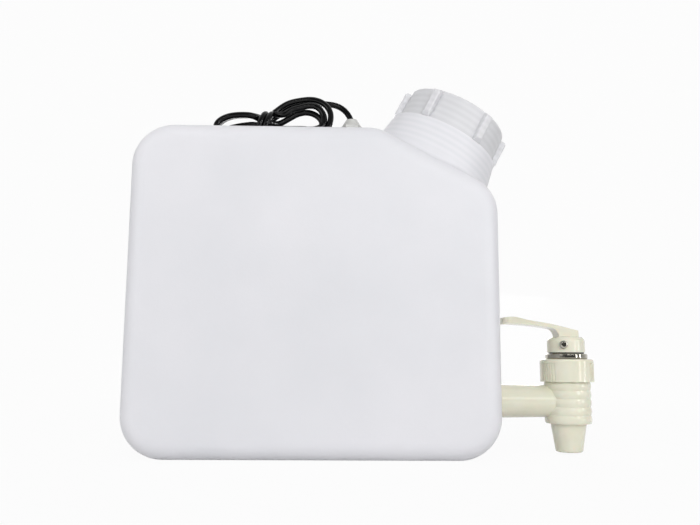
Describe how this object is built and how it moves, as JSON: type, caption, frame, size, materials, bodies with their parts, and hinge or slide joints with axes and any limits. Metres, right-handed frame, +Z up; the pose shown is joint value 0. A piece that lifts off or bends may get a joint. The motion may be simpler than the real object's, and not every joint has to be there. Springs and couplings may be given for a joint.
{
  "type": "detergent dispenser bottle",
  "caption": "Translucent plastic bottle with a slanted shoulder, tilted wide screw cap, lever tap low on one side, and a float level sensor in a cable gland with its tied cable on top.",
  "frame": {"origin": "on the surface it stands on, at the centre of the box around the bottle, its cap and its tap", "axes": "+X along the length towards the tap, +Y towards the back (the front faces -Y), +Z up"},
  "size_m": [0.2744, 0.09, 0.223],
  "materials": {
    "bottle_plastic": "natural polyethylene, slightly cloudy",
    "cap_plastic": "natural polyethylene, slightly cloudy",
    "liner_foam": "closed-cell foam",
    "gland_plastic": "light grey nylon",
    "rubber_black": "matt",
    "sensor_plastic": "white polypropylene",
    "magnet": "sintered ferrite",
    "reed_glass": "clear glass",
    "copper_lead": "insulated wire",
    "cable_black": "polished black PVC",
    "connector_white": "white nylon",
    "contact_brass": "plated",
    "tap_plastic": "cream polypropylene",
    "silicone": "translucent silicone",
    "chrome": "polished",
    "steel": "stainless"
  },
  "bodies": {
    "bottle": {"bottle_body": "bottle_plastic", "gland_body": "gland_plastic", "gland_washer": "rubber_black", "gland_lock_nut": "gland_plastic", "gland_seal": "rubber_black", "gland_dome_nut": "gland_plastic", "sensor_tube": "sensor_plastic", "sensor_end_plug": "sensor_plastic", "float_stops": "sensor_plastic", "reed_switch": "reed_glass", "sensor_leads": "copper_lead", "sensor_cable": "cable_black", "cable_hank": "cable_black", "cable_tail": "cable_black", "connector_housing": "connector_white", "connector_contacts": "contact_brass", "tap_body": "tap_plastic", "tap_outer_washer": "silicone", "tap_inner_washer": "silicone", "tap_lock_nut": "tap_plastic", "bonnet": "tap_plastic", "bonnet_seal": "silicone"},
    "cap_rise": {"cap_liner": "liner_foam"},
    "cap": {"screw_cap": "cap_plastic"},
    "swivel": {"swivel_head": "tap_plastic", "head_clip": "steel", "chrome_ring": "chrome", "head_washer": "rubber_black", "stem_o_ring": "rubber_black", "lever_pin": "chrome"},
    "lever": {"lever": "tap_plastic"},
    "stem": {"valve_stem": "tap_plastic", "valve_plug": "silicone", "valve_spring": "steel"},
    "float": {"sensor_float": "sensor_plastic", "float_magnet": "magnet"}
  },
  "joints": [
    {"name": "cap_lift", "type": "slide", "parent": "bottle", "child": "cap_rise", "axis": [0.4617, 0, 0.887], "range_m": [0, 0.0082]},
    {"name": "cap_turn", "type": "hinge", "parent": "cap_rise", "child": "cap", "pos_m": [0.03702, 0, 0.17123], "axis": [0.4617, 0, 0.887], "range_deg": [0, 486]},
    {"name": "swivel_turn", "type": "hinge", "parent": "bottle", "child": "swivel", "pos_m": [0.12135, 0, 0.0625], "axis": [0, 0, 1], "continuous": true},
    {"name": "lever_press", "type": "hinge", "parent": "swivel", "child": "lever", "pos_m": [0.11655, 0, 0.06445], "axis": [0, -1, 0], "range_deg": [0, 18], "stiffness_Nm_per_rad": 0.0241, "springref_deg": -34.38},
    {"name": "stem_lift", "type": "slide", "parent": "swivel", "child": "stem", "axis": [0, 0, 1], "range_m": [0, 0.0027], "deforming": ["valve_spring"]},
    {"name": "float_slide", "type": "slide", "parent": "bottle", "child": "float", "axis": [0, 0, 1], "range_m": [0, 0.0095]}
  ],
  "couplings": [
    {"joint": "cap_lift", "follows": "cap_turn", "m_per_rad": 0.00095493},
    {"joint": "stem_lift", "follows": "lever_press", "m_per_rad": 0.0083}
  ]
}
